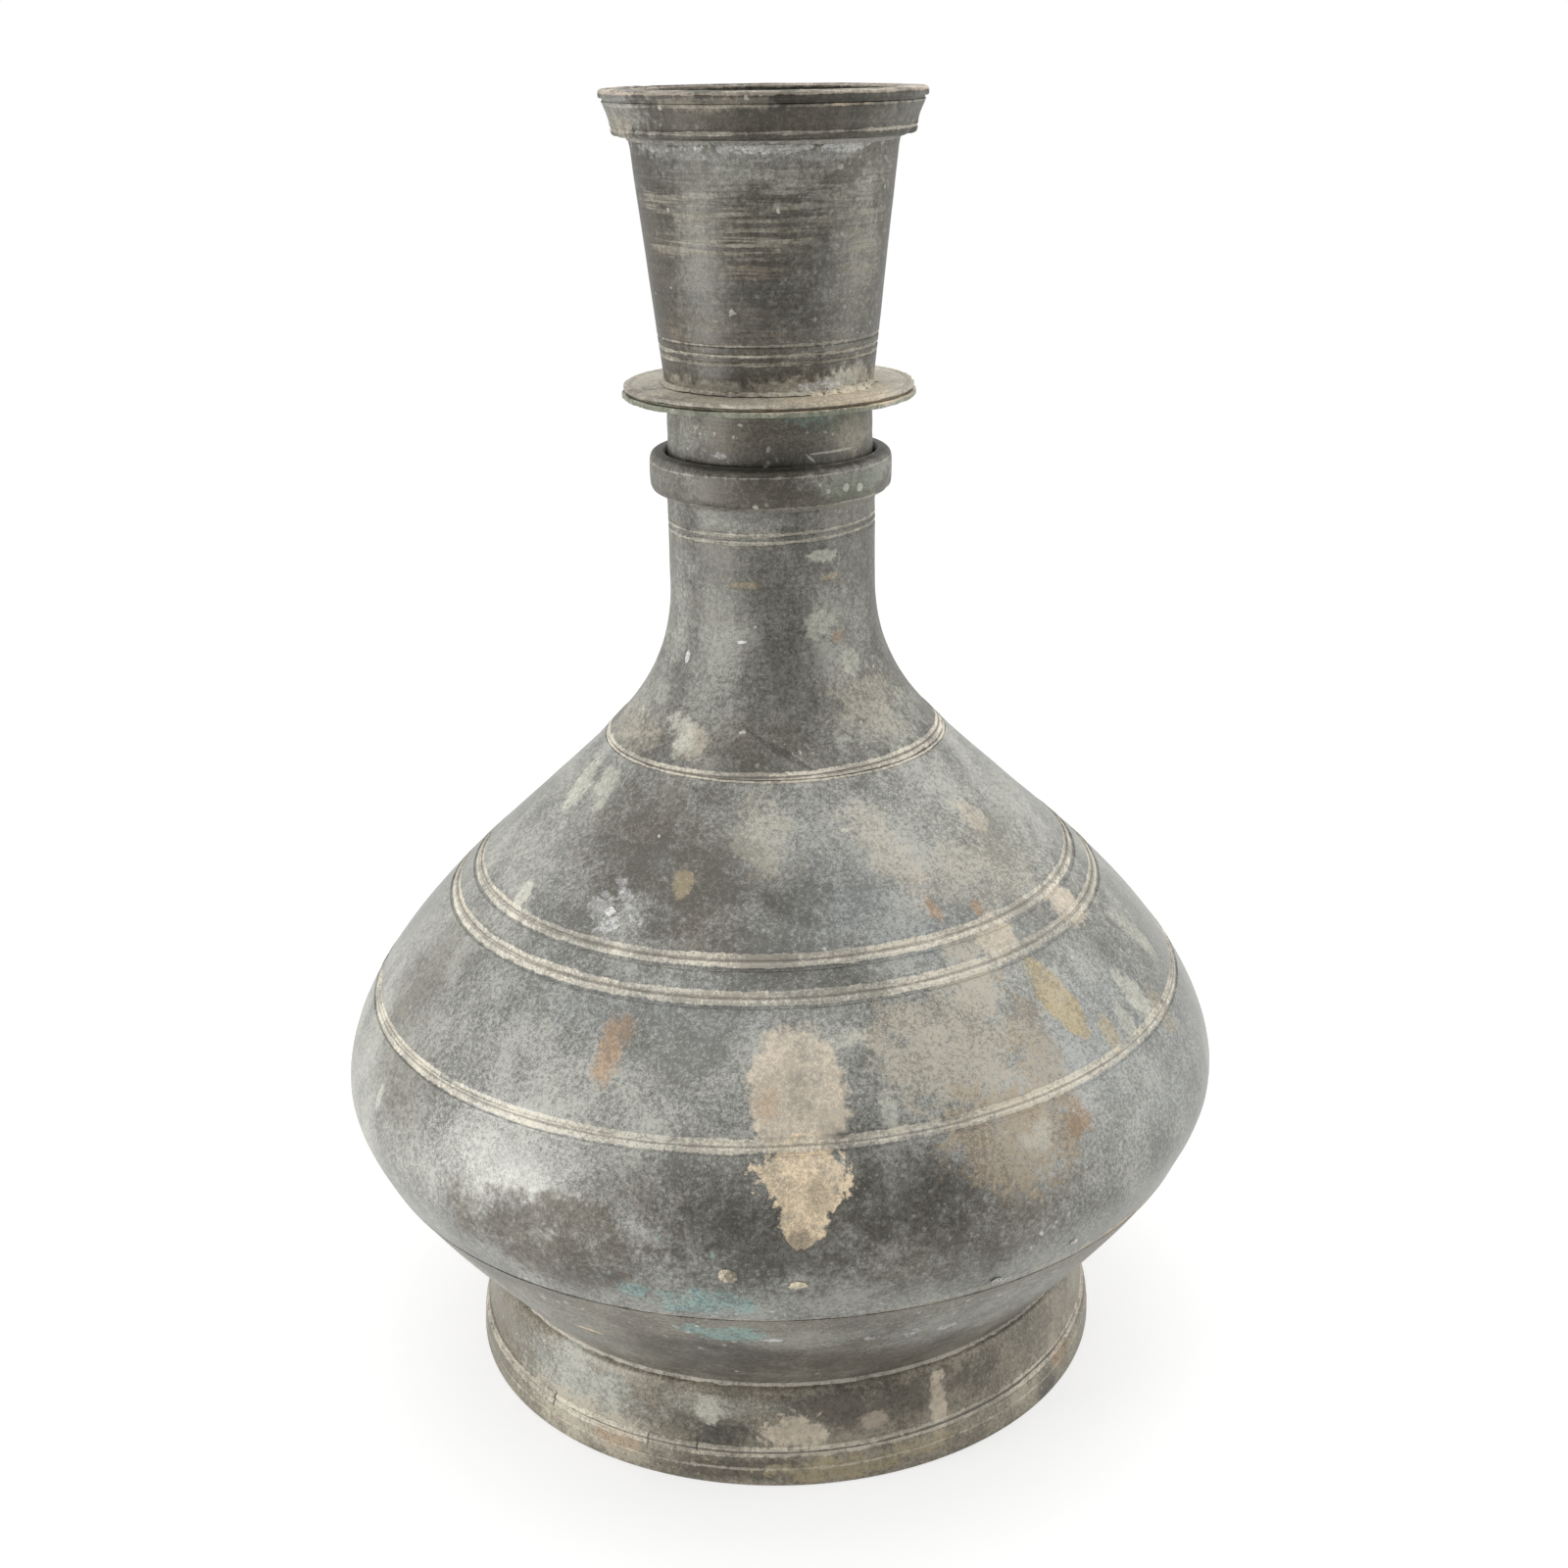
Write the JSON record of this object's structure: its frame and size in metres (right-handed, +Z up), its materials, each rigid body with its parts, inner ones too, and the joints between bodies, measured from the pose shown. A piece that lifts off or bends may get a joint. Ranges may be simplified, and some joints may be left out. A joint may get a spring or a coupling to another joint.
{
  "type": "bronze bottle with plug-in funnel mouth",
  "caption": "Squat onion-bellied patinated bronze bottle on a flared foot ring, with a slim collared neck and a flanged funnel mouth that lifts out of the collar.",
  "frame": {"origin": "centre of the flat face that the foot ring stands on", "axes": "+Z up along the bottle's axis; the shape is round about it; the picture looks along +Y"},
  "size_m": [0.2464, 0.2464, 0.35],
  "materials": {
    "foot_bronze": "aged bronze, olive-brown patina with tan deposits",
    "bowl_bronze": "aged bronze, dark brown-grey patina, finely brushed round",
    "belly_bronze": "aged bronze, pewter-grey satin patina, mottled with tan and pale crust",
    "neck_bronze": "aged bronze, dull grey-brown satin patina",
    "funnel_bronze": "aged bronze, olive-grey satin patina with pale horizontal streaks",
    "flange_bronze": "aged bronze under beige and green corrosion",
    "solder_crust": "weathered solder under cream corrosion crust"
  },
  "bodies": {
    "bottle": {"foot_ring": "foot_bronze", "foot_solder": "solder_crust", "bottom_bowl": "bowl_bronze", "belly_seam_solder": "solder_crust", "belly_shell": "belly_bronze", "neck_seam_solder": "solder_crust", "neck_tube": "neck_bronze", "collar_solder": "solder_crust", "neck_collar": "neck_bronze"},
    "funnel": {"spigot_tube": "funnel_bronze", "spigot_solder": "solder_crust", "lower_flange_plate": "flange_bronze", "flange_solder": "solder_crust", "upper_flange_plate": "flange_bronze", "funnel_solder": "solder_crust", "funnel_wall": "funnel_bronze", "rim_solder": "solder_crust", "funnel_rim": "funnel_bronze"}
  },
  "joints": [
    {"name": "funnel_lift", "type": "slide", "parent": "bottle", "child": "funnel", "axis": [0, 0, 1], "range_m": [0, 0.04]}
  ]
}
